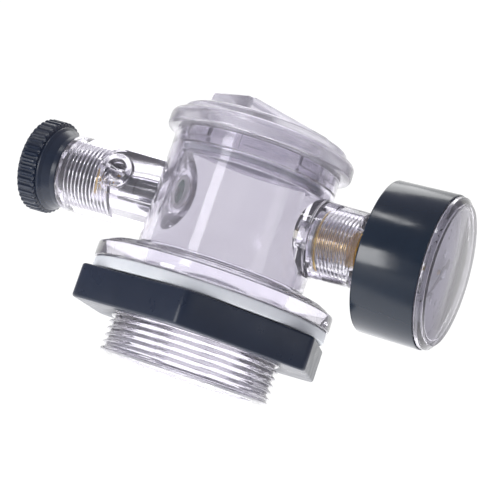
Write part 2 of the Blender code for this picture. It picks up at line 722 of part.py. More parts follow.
def make_sector_gear():
    """The sector at rest: its rim lies to the +Y side, with tooth 0 in the pinion's gap."""
    teeth = PINION_TEETH * GEAR_RATIO
    radius, step = MODULE * teeth / 2, 360 / teeth
    y, z = pivot = sector_pivot()
    low, high = 62.4, 63.6
    rim = gear_teeth(teeth, radius, -8, 2, arc(radius - 2.2, 2 * step - 2, 2 - 8.4 * step, 6))
    rim = [(y + a, z + b) for a, b in turned_about(90, rim)]
    spoke = turned_about(-3.1 * step, [(1.6, 0.5), (1.5, 9.4), (-1.5, 9.4), (-1.6, 0.5)], pivot)
    end = TAIL_R + 1.1
    tail = [(0, 1.1), (TAIL_R, 1.1), (end, 0.5), (end, -0.5), (TAIL_R, -1.1), (0, -1.1)]
    tail = turned_about(-SECTOR_SWEEP / 2, tail, pivot)
    place = (0, y, AXIS_Z + z)
    gear = turned("sector_gear", rod(1.9, 61.4, 64.6), ALONG, place, 16)
    for name, outline in {"sector_spoke": spoke, "sector_rim": rim, "sector_tail": tail}.items():
        join(gear, extruded(name, outline, low, high))
    pin = tail_pin()
    cut(gear, turned("sector_bore", rod(SHAFT_R + RUNNING, 60, 66), ALONG, place, 12))
    cut(gear, turned("tail_hole", rod(0.75, 60, 66), ALONG, (0, pin[0], AXIS_Z + pin[1]), 10))
    finish(gear, BRASS)
    shaft = rod(SHAFT_R, PLATE_X[0][0] - 0.1, PLATE_X[1][1] + 0.1)
    finish(turned("sector_shaft", shaft, ALONG, place, 12), STEEL)


def make_link():
    low, high = 63.9, 64.7
    start, end = Vector(tail_pin()), Vector(TIP_PIN_YZ)
    along = math.degrees(math.atan2(end.y - start.y, end.x - start.x))
    length = (end - start).length
    outline = arc(1.5, 90, 270, 7) + arc(1.7, -90, 90, 7, (length, 0))
    outline = turned_about(along, outline, start)
    holes = [circle(0.75, start, 10), circle(1.0, end, 10)]
    link = extruded("link", outline, low, high, holes=holes)
    set_origin(link, (low, start.x, AXIS_Z + start.y))
    finish(link, BRASS)
    for name, (y, z), from_x in (("link_pin_lower", start, 62.0), ("link_pin_upper", end, 61.2)):
        pin = rod(0.45, from_x, high + 0.5)
        finish(turned(name, pin, ALONG, (0, y, AXIS_Z + z), 10), STEEL)


def make_bourdon_tube():
    """A flattened tube bent into most of a circle round the movement."""
    turns = 26
    half = COIL_THICK / 2
    outer = arc(COIL_R + half, COIL_FROM, COIL_TO, turns)
    inner = arc(COIL_R - half, COIL_TO, COIL_FROM, turns)
    tube = extruded("bourdon_tube", outer + inner, *COIL_X)
    rounded(tube, 0.6, 1, 50)
    finish(tube, BRASS)


def make_tube_tip():
    start = COIL_TO - 1.0
    cap = arc(COIL_R + 1.8, start, start - 3, 3) + arc(COIL_R - 1.8, start - 3, start, 3)
    tip = extruded("tube_tip", cap, COIL_X[0], COIL_X[1])
    set_origin(tip, (COIL_X[0], TIP_SWING_YZ[0], AXIS_Z + TIP_SWING_YZ[1]))
    y, z = TIP_PIN_YZ
    lug = [(y - 1.6, z - 1.0), (y + 1.0, z - 1.7), (y + 3.7, z + 2.0), (y + 1.5, z + 2.8)]
    join(tip, extruded("tip_lug", lug, 61.0, 63.2))
    cut(tip, turned("tip_hole", rod(0.75, 60, 66), ALONG, (0, y, AXIS_Z + z), 10))
    finish(tip, BRASS)


def make_movement():
    pivot = sector_pivot()
    outline = [
        (-PLATE_HALF_Y, PLATE_LOW + 3),
        (-PLATE_HALF_Y + 3, PLATE_LOW),
        (PLATE_HALF_Y - 3, PLATE_LOW),
        (PLATE_HALF_Y, PLATE_LOW + 3),
        (PLATE_HALF_Y, PLATE_HIGH),
        (-PLATE_HALF_Y, PLATE_HIGH),
    ]
    bearings = [circle(PINION_R + RUNNING, points=12), circle(SHAFT_R + RUNNING, pivot, 12)]
    screw_holes = [circle(1.0, yz, 8) for yz in PILLAR_YZ]
    dial_holes = [circle(0.95, yz, 8) for yz in DIAL_SCREW_YZ]
    names = ("movement_base_plate", "movement_top_plate")
    for name, (low, high), extra in zip(names, PLATE_X, ([], screw_holes + dial_holes)):
        finish(extruded(name, outline, low, high, holes=bearings + extra), BRASS)
    for k, (y, z) in enumerate(PILLAR_YZ, 1):
        place = (0, y, AXIS_Z + z)
        between = rod(1.6, PLATE_X[0][1] + GAP, PLATE_X[1][0] - GAP)
        pillar = turned(f"movement_pillar_{k}", between, ALONG, place, 12)
        cut(pillar, turned("pillar_hole", rod(1.0, 62.0, 67), ALONG, place, 8))
        finish(pillar, BRASS)
        add_screw(f"movement_screw_{k}", place, PLATE_X[1][1] + GAP, 1.7, 1.0, 0.7, 4.0, -1)
    for k, (y, z) in enumerate(DIAL_SCREW_YZ, 1):
        place = (0, y, AXIS_Z + z)
        add_screw(f"dial_screw_{k}", place, DIAL_X[1] + GAP, 1.5, 0.6, 0.6, 4.0, -1)
    for k, (y, z) in enumerate(CASE_SCREW_YZ, 1):
        place = (0, y, AXIS_Z + z)
        add_screw(f"case_screw_{k}", place, CASE_BACK - GAP, 2.2, 1.2, 1.0, 4.6, 1)
    pin = rod(0.55, DIAL_X[0] - 0.6, POINTER_X[1] + 0.9)
    finish(turned("stop_pin", pin, ALONG, (0, STOP_YZ[0], AXIS_Z + STOP_YZ[1]), 8), STEEL)


def add_screw(name, place, seat, head_r, head, shank_r, length, way):
    """A slotted screw, with its head resting at seat and its shank running along X: to -X when
    way is -1, and to +X when way is 1."""
    top, tip = seat - way * head, seat + way * length
    shank = [(shank_r, seat), (shank_r, tip)]
    profile = [(0, top), (head_r, top), (head_r, seat), *shank, (0, tip)]
    screw = turned(name, profile[::-way], ALONG, place, 12)
    half = 0.25
    outline = [(-head_r - 1, -half), (head_r + 1, -half), (head_r + 1, half), (-head_r - 1, half)]
    low, high = sorted((top - way * 0.5, top + way * head * 0.4))
    cut(screw, extruded(f"{name}_slot", outline, low, high, place=place))
    finish(screw, STEEL)


def make_hairspring():
    count = 40
    route = []
    for k in range(count + 1):
        angle = math.tau * 2.5 * k / count
        radius = 1.5 + 3.0 * k / count
        route.append((60.6, radius * math.cos(angle), AXIS_Z + radius * math.sin(angle)))
    finish(wire("hairspring", route, 0.18, 0), STEEL)


clear_scene()
make_valve_body()
make_lid()
make_lid_o_ring()
make_lock_nut()
make_flange_gasket()
make_adjusting_knob()
make_spring_seat()
make_valve_spring()
make_valve_piston()
make_valve_rings()
make_gauge_stem()
make_stem_fittings()
make_gauge_case()
make_gauge_lens()
make_gauge_dial()
make_gauge_pointer()
make_pinion_shaft()
make_sector_gear()
make_link()
make_bourdon_tube()
make_tube_tip()
make_movement()
make_hairspring()
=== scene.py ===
"""The looks of an adjustable carbon dioxide pressure relief head with its pressure gauge.

Sizes are in millimetres and become metres when a mesh is made. Z is the chamber's axis, and the
side tubes lie along X at AXIS_Z: the adjusting knob at -X and the gauge at +X.
"""

import json
import math

import bmesh
import bpy
from mathutils import Matrix, Vector


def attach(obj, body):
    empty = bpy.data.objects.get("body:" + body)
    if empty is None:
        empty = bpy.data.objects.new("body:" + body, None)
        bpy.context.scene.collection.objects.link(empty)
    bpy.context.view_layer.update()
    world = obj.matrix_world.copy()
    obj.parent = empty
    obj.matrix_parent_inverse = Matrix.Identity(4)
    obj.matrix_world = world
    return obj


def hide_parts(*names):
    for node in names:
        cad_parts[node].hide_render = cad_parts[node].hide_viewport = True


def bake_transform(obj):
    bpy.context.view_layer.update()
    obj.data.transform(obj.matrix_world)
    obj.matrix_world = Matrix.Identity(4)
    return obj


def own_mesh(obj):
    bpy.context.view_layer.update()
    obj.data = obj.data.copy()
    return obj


MM = 0.001
MERGE = 1e-6
AXIS_Z = 58.0
ALONG_X = Matrix.Translation((0, 0, AXIS_Z * MM)) @ Matrix.Rotation(math.pi / 2, 4, "Y")
UPRIGHT = Matrix.Identity(4)
# A plate whose outline is given as (y, z) about the side tubes' axis, lying across X.
FACING = Matrix(((0, 0, 1, 0), (1, 0, 0, 0), (0, 1, 0, AXIS_Z * MM), (0, 0, 0, 1)))

# The camera: where it looks, how far off it is, its direction and how far it is rolled.
TARGET = Vector((8.2, 0.0, 48.3))
DISTANCE, AZIMUTH, ELEVATION, ROLL = 520.0, 22.27, -7.25, 18.64
LENS = 110.45

# Threads: pitch and depth
STUB_THREAD = (2.309, 1.4)
STEM_THREAD = (1.337, 0.8)
KNOB_THREAD = (1.5, 0.8)
TUBE_THREAD = (1.5, 0.5)

# Bayonet lugs of the mouth and of the lid: how many, the first one's turn and half a lug's spread
LUG_COUNT, LUG_FIRST, LUG_HALF_SPREAD = 8, 18, 9.95
# The lid's grip block: its turn about Z and its half sizes inside its rounded corners
GRIP_TURN, GRIP_HALF_LENGTH, GRIP_HALF_WIDTH, GRIP_CORNER = 64.5, 18.3, 8.7, 1.8
# The vent boss: its centre (x, z), and the radius of the pad that it stands on
BOSS_CENTRE, PAD_R = (-41.6, 60.2), 8.0
KNOB_RIBS = 42
# The valve spring: its ends along X, coil radius, wire radius and turns
SPRING_START, SPRING_END, SPRING_R, WIRE_R, SPRING_TURNS = -50.3, -38.5, 2.9, 0.42, 7
# The screws that hold the case on the stem's block, as (y, z) from the side tubes' axis
CASE_SCREWS = ((4.0, -10.5), (-4.0, -10.5))
# The dial: the scale's start, how far it turns, its steps and its outer radius
SCALE_START, SCALE_TURN, SCALE_STEPS, SCALE_R = 225, 270, 40, 19.4
LAST_NUMBER, NUMBER_R, NUMBER_SIZE = 4, 13.2, 5.0

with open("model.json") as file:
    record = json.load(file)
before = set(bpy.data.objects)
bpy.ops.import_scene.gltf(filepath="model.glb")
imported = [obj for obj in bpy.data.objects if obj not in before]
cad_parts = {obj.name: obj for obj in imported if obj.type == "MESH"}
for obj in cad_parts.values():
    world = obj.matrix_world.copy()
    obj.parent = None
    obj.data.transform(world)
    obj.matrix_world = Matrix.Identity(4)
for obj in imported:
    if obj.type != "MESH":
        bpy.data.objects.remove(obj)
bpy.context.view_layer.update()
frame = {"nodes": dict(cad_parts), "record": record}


# ---- Profiles ------------------------------------------------------------------------------

def rounded(points, steps=4):
    """A profile of (radius, height) points, where a third number rounds that corner."""
    out = []
    for i, point in enumerate(points):
        if len(point) < 3 or i in (0, len(points) - 1):
            out.append(tuple(point[:2]))
            continue
        before, corner, after = (Vector(points[j][:2]) for j in (i - 1, i, i + 1))
        back, on = (before - corner), (after - corner)
        half = back.angle(on) / 2
        reach = min(point[2] / math.tan(half), back.length * 0.49, on.length * 0.49)
        radius = reach * math.tan(half)
        middle = (back.normalized() + on.normalized()).normalized()
        centre = corner + middle * (radius / math.sin(half))
        start = corner + back.normalized() * reach - centre
        end = corner + on.normalized() * reach - centre
        turn = math.atan2(start.x * end.y - start.y * end.x, start.dot(end))
        for k in range(steps + 1):
            c, s = math.cos(turn * k / steps), math.sin(turn * k / steps)
            out.append((centre.x + c * start.x - s * start.y, centre.y + s * start.x + c * start.y))
    return out


def thread_rows(radius, start, end, pitch, fade_start=1.0, fade_end=1.0, per_turn=12):
    """Rows of a threaded length. Each row has a share of the groove's depth, fading at its ends."""
    count = max(2, round(abs(end - start) / pitch * per_turn))
    rows = []
    for k in range(count + 1):
        height = start + (end - start) * k / count
        near, far = abs(height - start) / pitch, abs(height - end) / pitch
        share = min(1.0, near / fade_start if fade_start else 1.0, far / fade_end if fade_end else 1.0)
        rows.append((radius, height, share))
    return rows


def groove(height, angle, pitch):
    """How deep a rounded V groove is, from 0 at its crest to 1 at its root."""
    u = (height / pitch - angle / math.tau) % 1.0
    v = abs(2 * u - 1)
    return 1 - (v * v * (3 - 2 * v)) * 0.55 - v * 0.45


# ---- Solids --------------------------------------------------------------------------------

def circle_angles(steps, spin=0.0):
    """Even turns round a circle, starting from spin."""
    return [spin + math.tau * k / steps for k in range(steps)]


def solid(name, rows, place=UPRIGHT, steps=96, thread=None, spin=0.0, angles=None, shape=None,
          ring=False, sharp=32):
    """A body of revolution from rows listed down its outer side, and up its bore when it is a
    ring. shape(radius, angle) can make a row other than round."""
    pitch, depth = thread or (1.0, 0.0)
    angles = angles or circle_angles(steps, spin)
    mesh = bpy.data.meshes.new(name)
    work = bmesh.new()
    loops = []
    for row in rows:
        radius, height = row[:2]
        share = row[2] if len(row) > 2 else 0.0
        if radius == 0:
            loops.append([work.verts.new((0, 0, height * MM))])
            continue
        loop = []
        for angle in angles:
            r = shape(radius, angle) if shape else radius
            if share:
                r -= share * depth * groove(height, angle, pitch)
            loop.append(work.verts.new((r * math.cos(angle) * MM, r * math.sin(angle) * MM, height * MM)))
        loops.append(loop)
    pairs = list(zip(loops, loops[1:]))
    if ring:
        pairs.append((loops[-1], loops[0]))
    count = len(angles)
    for upper, lower in pairs:
        for j in range(count):
            k = (j + 1) % count
            if len(upper) == 1 and len(lower) == 1:
                continue
            if len(upper) == 1:
                work.faces.new((upper[0], lower[j], lower[k]))
            elif len(lower) == 1:
                work.faces.new((upper[j], lower[0], upper[k]))
            else:
                work.faces.new((upper[j], lower[j], lower[k], upper[k]))
    work.to_mesh(mesh)
    work.free()
    made = bpy.data.objects.new(name, mesh)
    bpy.context.scene.collection.objects.link(made)
    made.matrix_world = place
    shade(made, sharp)
    return made


def shade(piece, sharp=32):
    """Smooth shading, broken where faces meet at more than sharp degrees."""
    piece.data.shade_smooth()
    piece.data.set_sharp_from_angle(angle=math.radians(sharp))


def prism(name, outline, low, high, place=UPRIGHT, edge=0.0, sharp=32):
    """A flat outline made into a plate, with its rims rounded by edge."""
    mesh = bpy.data.meshes.new(name)
    work = bmesh.new()
    bottom = [work.verts.new((x * MM, y * MM, low * MM)) for x, y in outline]
    top = [work.verts.new((x * MM, y * MM, high * MM)) for x, y in outline]
    count = len(outline)
    for j in range(count):
        k = (j + 1) % count
        work.faces.new((bottom[j], bottom[k], top[k], top[j]))
    floor = work.faces.new(bottom[::-1])
    roof = work.faces.new(top)
    if edge:
        rims = list({e for f in (floor, roof) for e in f.edges})
        bmesh.ops.bevel(work, geom=rims, offset=edge * MM, segments=3, affect="EDGES", profile=0.5)
    work.normal_update()
    bmesh.ops.recalc_face_normals(work, faces=work.faces)
    work.to_mesh(mesh)
    work.free()
    made = bpy.data.objects.new(name, mesh)
    bpy.context.scene.collection.objects.link(made)
    made.matrix_world = place
    shade(made, sharp)
    return made


def rod_at(name, radius, low, high, y, z):
    """A round bar along X, at (y, z) from the side tubes' axis."""
    place = Matrix.Translation((0, y * MM, z * MM)) @ ALONG_X
    return solid(name, [(0, high), (radius, high), (radius, low), (0, low)], place, 24)


def combine(piece, others, operation):
    """Adds the others to the piece, or cuts them from it, and clears them away."""
    for other in others:
        step = piece.modifiers.new("step", "BOOLEAN")
        step.operation, step.object, step.solver = operation, other, "EXACT"
    bpy.context.view_layer.update()
    graph = bpy.context.evaluated_depsgraph_get()
    mesh = bpy.data.meshes.new_from_object(piece.evaluated_get(graph))
    piece.modifiers.clear()
    old, piece.data = piece.data, mesh
    bpy.data.meshes.remove(old)
    for other in others:
        bpy.data.objects.remove(other)


def add_to(piece, *others):
    combine(piece, others, "UNION")


def cut_from(piece, *others):
    combine(piece, others, "DIFFERENCE")


def arc(radius, start, end, steps, centre=(0.0, 0.0)):
    """Points along an arc between two turns in degrees."""
    turns = [math.radians(start + (end - start) * k / (steps - 1)) for k in range(steps)]
    return [(centre[0] + radius * math.cos(a), centre[1] + radius * math.sin(a)) for a in turns]


def wire(name, route, radius, sides=3):
    """A round wire along a list of points."""
    data = bpy.data.curves.new(name, "CURVE")
    data.dimensions = "3D"
    data.bevel_depth = radius * MM
    data.bevel_resolution = sides
    data.use_fill_caps = True
    spline = data.splines.new("POLY")
    spline.points.add(len(route) - 1)
    for point, place in zip(spline.points, route):
        point.co = (*(Vector(place) * MM), 1)
    curve = bpy.data.objects.new(name, data)
    bpy.context.scene.collection.objects.link(curve)
    bpy.context.view_layer.update()
    graph = bpy.context.evaluated_depsgraph_get()
    mesh = bpy.data.meshes.new_from_object(curve.evaluated_get(graph))
    bpy.data.objects.remove(curve)
    made = bpy.data.objects.new(name, mesh)
    bpy.context.scene.collection.objects.link(made)
    shade(made, 60)
    return made


# ---- Materials -----------------------------------------------------------------------------

class Finish:
    """A material whose colour, roughness and bump come from noise in the object's own space."""

    def __init__(self, name, **sockets):
        self.material = bpy.data.materials.new(name)
        self.material.use_nodes = True
        self.tree = self.material.node_tree
        self.shader = self.tree.nodes["Principled BSDF"]
        self.place = self.add("ShaderNodeTexCoord").outputs["Object"]
        for socket, value in sockets.items():
            self.shader.inputs[socket.replace("_", " ")].default_value = value

    def add(self, kind, **settings):
        node = self.tree.nodes.new(kind)
        for setting, value in settings.items():
            setattr(node, setting, value)
        return node

    def link(self, source, target):
        self.tree.links.new(source, target)

    def stretched(self, scale):
        """The object's space stretched along its axes, for marks that run one way."""
        mapping = self.add("ShaderNodeMapping")
        mapping.inputs["Scale"].default_value = scale
        self.link(self.place, mapping.inputs["Vector"])
        return mapping.outputs["Vector"]

    def noise(self, scale, detail=3.0, roughness=0.55, vector=None, distortion=0.0):
        node = self.add("ShaderNodeTexNoise")
        node.inputs["Scale"].default_value = scale
        node.inputs["Detail"].default_value = detail
        node.inputs["Roughness"].default_value = roughness
        node.inputs["Distortion"].default_value = distortion
        self.link(vector or self.place, node.inputs["Vector"])
        return node.outputs["Fac"]

    def between(self, value, low, high, start=0.3, end=0.7):
        node = self.add("ShaderNodeMapRange")
        for socket, given in (("From Min", start), ("From Max", end), ("To Min", low), ("To Max", high)):
            node.inputs[socket].default_value = given
        self.link(value, node.inputs["Value"])
        return node.outputs["Result"]

    def colours(self, value, *stops):
        ramp = self.add("ShaderNodeValToRGB")
        elements = ramp.color_ramp.elements
        while len(elements) < len(stops):
            elements.new(0.5)
        for element, (position, colour) in zip(elements, stops):
            element.position = position
            element.color = (*colour, 1)
        self.link(value, ramp.inputs["Fac"])
        return ramp.outputs["Color"]

    def colour(self, value, *stops):
        self.link(self.colours(value, *stops), self.shader.inputs["Base Color"])
        return self

    def rough(self, value, low, high):
        self.link(self.between(value, low, high), self.shader.inputs["Roughness"])
        return self

    def bump(self, value, strength, distance=0.0002):
        node = self.add("ShaderNodeBump")
        node.inputs["Strength"].default_value = strength
        node.inputs["Distance"].default_value = distance
        self.link(value, node.inputs["Height"])
        self.link(node.outputs["Normal"], self.shader.inputs["Normal"])
        return self


def make_clear(name, pale=0.0, haze=0.0, clarity=1.0):
    """Clear moulded plastic with a faint lilac cast, flow marks and fine handling marks. The cast
    is lighter with pale, haze roughens the surface, and clarity is the share that lets light by."""
    f = Finish(name, Transmission_Weight=clarity, IOR=1.57)
    flow = f.noise(38, 2, 0.5, f.stretched((1, 1, 0.45)), 0.6)
    tint = ((0.3, (0.82 + pale, 0.8 + pale, 0.87 + pale)), (0.7, (0.88 + pale, 0.86 + pale, 0.92 + pale)))
    f.colour(flow, *tint)
    f.rough(f.noise(900, 4), 0.012 + haze, 0.05 + haze)
    f.bump(flow, 0.05, 0.0006)
    return f.material


def make_dark(name, low, high, gloss):
    """Slate blue moulded plastic with a fine moulded grain and worn highlights."""
    f = Finish(name, IOR=1.5)
    f.colour(f.noise(60, 5), (0.3, low), (0.72, high))
    f.rough(f.noise(160, 3, 0.5), gloss - 0.04, gloss + 0.06)
    f.bump(f.noise(1600, 2), 0.015, 0.00005)
    return f.material


def make_metal(name, dark, light, low, high, marks=(5200.0, 40.0, 40.0)):
    """Turned metal with fine tool marks round its axis."""
    f = Finish(name, Metallic=1.0)
    turned_marks = f.noise(1.0, 4, 0.6, f.stretched(marks))
    f.colour(f.noise(320, 5), (0.25, dark), (0.75, light))
    f.rough(turned_marks, low, high)
    f.bump(turned_marks, 0.12, 0.00004)
    return f.material


def make_soft(name, low, high, rough_low=0.45, rough_high=0.65, grain=1500):
    """Rubber, nylon, card or paint with a fine grain."""
    f = Finish(name, IOR=1.45)
    f.colour(f.noise(90, 4), (0.3, low), (0.7, high))
    f.rough(f.noise(500, 3), rough_low, rough_high)
    f.bump(f.noise(grain, 4), 0.12, 0.00008)
    return f.material


CLEAR = make_clear("clear_plastic", 0.0, 0.02, 0.93)
WINDOW = make_clear("clear_window", 0.05, 0.0, 0.96)
HAZY = make_clear("hazy_plastic", 0.05, 0.12, 0.86)
SLATE = make_dark("slate_plastic", (0.008, 0.016, 0.036), (0.013, 0.023, 0.048), 0.3)
CASE = make_dark("slate_gloss", (0.005, 0.014, 0.03), (0.008, 0.02, 0.04), 0.16)
PISTON = make_dark("grey_plastic", (0.05, 0.062, 0.064), (0.075, 0.09, 0.09), 0.38)
BRASS = make_metal("brass", (0.78, 0.52, 0.14), (0.95, 0.72, 0.28), 0.3, 0.5)
STEEL = make_metal("steel", (0.42, 0.43, 0.45), (0.68, 0.69, 0.71), 0.16, 0.32)
GASKET = make_soft("white_rubber", (0.78, 0.82, 0.85), (0.88, 0.91, 0.93))
SEAL = make_soft("green_rubber", (0.008, 0.1, 0.06), (0.015, 0.16, 0.1))
NYLON = make_soft("white_nylon", (0.8, 0.8, 0.79), (0.88, 0.88, 0.87), 0.3, 0.45)
# Painted shade: the dial is white, but it is given a mid grey, darker than its own white, to stand in for
# the shade it sits in deep inside the case.
DIAL = make_soft("dial_white", (0.52, 0.53, 0.56), (0.58, 0.59, 0.62), 0.3, 0.42, 2200)
INK = make_soft("dial_ink", (0.012, 0.012, 0.014), (0.02, 0.02, 0.022), 0.4, 0.5)
POINTER = make_soft("pointer_black", (0.012, 0.012, 0.014), (0.03, 0.03, 0.032), 0.3, 0.4)


def dress(piece, material, body, slot_name, *stands_for):
    """Gives a piece its material and its body, and hides the CAD nodes that it stands in for; slot_name
    is not used. A piece that is left on no body has None for its body."""
    piece.data.materials.clear()
    piece.data.materials.append(material)
    if body:
        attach(piece, body)
    if stands_for:
        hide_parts(*stands_for)


# ---- The clear head ------------------------------------------------------------------------

def make_head():
    top = rounded([
        (27.6, 80.2),
        (29.5, 80.2, 0.5),
        (29.5, 37.0, 3.2),
        (34.4, 37.0, 0.2),
        (34.7, 36.6, 0.2),
        (35.2, 36.6, 0.2),
        (35.5, 37.0, 0.2),
        (37.6, 37.0, 0.3),
        (37.9, 36.3, 0.3),
        (39.4, 36.2, 0.4),
        (39.8, 35.5, 0.3),
        (41.8, 35.0, 0.9),
        (41.8, 29.7, 0.5),
        (30.0, 29.7, 0.3),
        (29.8, 29.0),
    ])
    stub = thread_rows(29.8, 28.4, 0.7, STUB_THREAD[0], 1.2, 0.6)
    bore = rounded([
        (28.9, 0.2),
        (28.2, 0.0, 0.2),
        (24.4, 0.0, 0.5),
        (24.4, 29.7, 3),
        (25.5, 37.0, 3),
        (25.5, 74.9, 0.3),
        (27.6, 74.9, 0.3),
        (27.6, 80.2),
    ])[:-1]
    head = solid("head", [*top, *stub, *bore], steps=128, thread=STUB_THREAD, ring=True)
    tube = rounded([(0, -26.0), (13.6, -26.0), (13.6, -65.6, 0.5), (0, -65.6)])
    nose = rounded([(0, -23.9), (7.6, -23.9, 0.5), (7.6, -29.0), (0, -29.0)])
    port = rounded([
        (0, 46.9),
        (12.9, 46.9, 0.9),
        (13.2, 30.9, 0.5),
        (13.6, 30.4, 0.3),
        (13.6, 26.0),
        (0, 26.0),
    ])
    facing_front = Matrix.Rotation(math.pi / 2, 4, "X")
    boss_x, boss_z = BOSS_CENTRE
    boss_place = Matrix.Translation((boss_x * MM, 0, boss_z * MM)) @ facing_front
    boss = rounded([(0, 16.5), (6.1, 16.5, 0.6), (6.1, 9.0), (0, 9.0)])
    pad_end = -24.8
    pad_outline = arc(PAD_R, 90, 270, 25, BOSS_CENTRE)
    pad_outline += [(pad_end, boss_z - PAD_R), (pad_end, boss_z + PAD_R)]
    parts = [
        solid("tube", tube, ALONG_X, 96, spin=0.011),
        solid("nose", nose, ALONG_X, 64, spin=0.007),
        solid("port", port, ALONG_X, 96, spin=0.013),
        solid("boss", boss, boss_place, 48, spin=0.017),
        prism("pad", pad_outline, 7.5, 14.4, facing_front, 0.6),
        *lugs("head_lug", 25.7, 28.2, 77.3, 80.2),
    ]
    add_to(head, *parts)
    left = [
        *rounded([(0, -22.5), (6.1, -22.5), (6.1, -25.6), (5.3, -25.6), (5.3, -45.6)]),
        (6.15, -46.0),
        *thread_rows(7.0, -46.2, -64.6, TUBE_THREAD[0], 0.7, 0.3),
        (7.4, -65.4),
        (8.1, -66.4),
        (0, -66.4),
    ]
    right = [
        (0, 48.0),
        (9.0, 48.0),
        (9.0, 46.9),
        (7.1, 44.9),
        *thread_rows(6.9, 44.7, 31.8, STEM_THREAD[0], 0.5, 0.5),
        (6.9, 31.0),
        (6.9, 30.0),
        (3.0, 30.0),
        (3.0, 21.0),
        (0, 21.0),
    ]
    vent = rounded([(0, 18.0), (4.2, 18.0), (4.2, 16.5), (3.2, 15.3, 0.5), (3.2, 2.2), (0, 2.2)])
    cutters = [
        solid("left_bores", left, ALONG_X, 96, TUBE_THREAD, 0.023),
        solid("right_bores", right, ALONG_X, 72, STEM_THREAD, 0.027),
        solid("vent_bore", vent, boss_place, 48, spin=0.031),
    ]
    cut_from(head, *cutters)
    shade(head, 30)
    dress(head, CLEAR, "fitting", "clear_plastic", "valve_body")


def lugs(name, inner, outer, low, high):
    """A ring of bayonet lugs."""
    made = []
    for k in range(LUG_COUNT):
        middle = LUG_FIRST + 360 // LUG_COUNT * k
        start, end = middle - LUG_HALF_SPREAD, middle + LUG_HALF_SPREAD
        outline = arc(outer, start, end, 9) + arc(inner, end, start, 9)
        made.append(prism(f"{name}_{k}", outline, low, high, edge=0.35))
    return made


def make_cap():
    outside = rounded([
        (0, 90.5),
        (16, 90.3, 20),
        (27.6, 89.8, 1.2),
        (29.2, 89.0, 1.0),
        (29.2, 86.8, 0.5),
        (33.0, 86.5, 2.0),
        (33.0, 80.5, 1.4),
        (25.2, 80.5, 0.3),
        (25.2, 74.6, 0.3),
        (23.2, 74.6, 0.2),
        (23.2, 72.0, 0.2),
        (25.2, 72.0, 0.3),
        (25.2, 71.0, 0.4),
        (21.0, 71.0, 0.4),
        (21.0, 85.6, 1.2),
        (19.4, 87.2, 1.0),
        (0, 87.7),
    ])
    cap = solid("cap", outside, steps=128)
    corners = []
    for k, (side, end) in enumerate(((1, 1), (-1, 1), (-1, -1), (1, -1))):
        middle = (side * GRIP_HALF_LENGTH, end * GRIP_HALF_WIDTH)
        corners += arc(GRIP_CORNER, 90 * k, 90 * k + 90, 8, middle)
    stand = Matrix.Rotation(math.radians(GRIP_TURN), 4, "Z")
    grip = prism("grip", corners, 88.8, 95.0, stand, 0.8)
    add_to(cap, grip, *lugs("cap_lug", 24.6, 27.2, 75.2, 77.0))
    shade(cap, 30)
    dress(cap, HAZY, "lid", "clear_plastic", "lid")


def make_nut():
    flat, rounding, first = 40.25, 3.0, 43.8
    centre = (flat - rounding) / math.cos(math.pi / 6)
    limit = math.degrees(math.atan2(rounding / 2, centre + rounding * math.cos(math.pi / 6)))
    angles = []
    for side in range(6):
        corner = first + 60 * side
        near = [-limit, -limit / 2, 0, limit / 2, limit]
        between = [limit + (60 - 2 * limit) * k / 20 for k in range(1, 20)]
        angles += [math.radians(corner + a) for a in near + between]

    def hexagon(radius, angle):
        """The radius of a hexagon with rounded corners, or of a circle inside it."""
        if radius < 36:
            return radius
        off = (math.degrees(angle) - first + 30) % 60 - 30
        inset = flat - radius
        if abs(off) <= limit:
            a = math.radians(off)
            r = centre * math.cos(a) + math.sqrt(rounding**2 - (centre * math.sin(a)) ** 2)
        else:
            r = flat / math.cos(math.radians(30 - abs(off)))
        return r * (flat - inset) / flat

    bore = 30.1
    rows = [
        *rounded([(32.6, 25.2), (flat, 25.2, 0.9), (flat, 13.5, 0.9), (32.6, 13.5)]),
        (bore + 0.4, 14.6),
        *thread_rows(bore, 14.8, 23.9, STUB_THREAD[0], 0.3, 0.3),
        (bore + 0.4, 24.1),
    ]
    nut = solid("hex_nut", rows, thread=STUB_THREAD, angles=angles, shape=hexagon, ring=True, sharp=28)
    dress(nut, SLATE, "nut", "dark_plastic", "lock_nut")


def make_gasket():
    rows = rounded([
        (30.6, 29.4),
        (41.2, 29.4, 0.4),
        (41.2, 25.5, 0.6),
        (30.1, 25.5, 0.4),
        (30.1, 29.4, 0.4),
        (30.6, 29.4),
    ])[:-1]
    gasket = solid("flat_gasket", rows, ring=True)
    dress(gasket, GASKET, "gasket", "white_rubber", "flange_gasket")


# ---- The relief valve ----------------------------------------------------------------------

def make_knob():
    rows = [
        (0, -52.3),
        (5.4, -52.3),
        (5.85, -52.7),
        *thread_rows(6.7, -52.8, -64.6, KNOB_THREAD[0], 0.6, 0.6),
        (5.9, -65.0),
        (5.9, -65.9),
        *rounded([
            (5.9, -65.9),
            (13.0, -65.9, 0.3),
            (13.1, -67.8, 1.0),
            (14.3, -70.6, 1.0),
            (15.2, -71.6, 0.6),
            (15.2, -72.3, 0.2),
        ])[1:],
    ]
    crest, root = 16.7, 15.9

    def ribbed(radius, angle):
        """Rounded ribs round the rim, which are the only part of the knob beyond the root."""
        if radius <= root:
            return radius
        u = (angle / math.tau * KNOB_RIBS) % 1.0
        v = min(1.0, max(0.0, (abs(2 * u - 1) - 0.22) / 0.42))
        return radius - (radius - root) * v * v * (3 - 2 * v)

    rim = [(root, -72.5), (crest - 0.25, -72.7), (crest, -73.1)]
    rim += [(crest, -73.1 - 5.6 * k / 6) for k in range(1, 7)]
    rim += [
        (crest - 0.3, -79.1),
        (root, -79.3),
        (15.2, -79.4),
        (13.6, -79.4),
        (13.2, -79.2),
        (12.8, -78.9),
        (0, -78.7),
    ]
    knob = solid("knob", rows + rim, ALONG_X, KNOB_RIBS * 8, KNOB_THREAD, shape=ribbed)
    dress(knob, SLATE, "knob", "dark_plastic", "adjusting_knob")


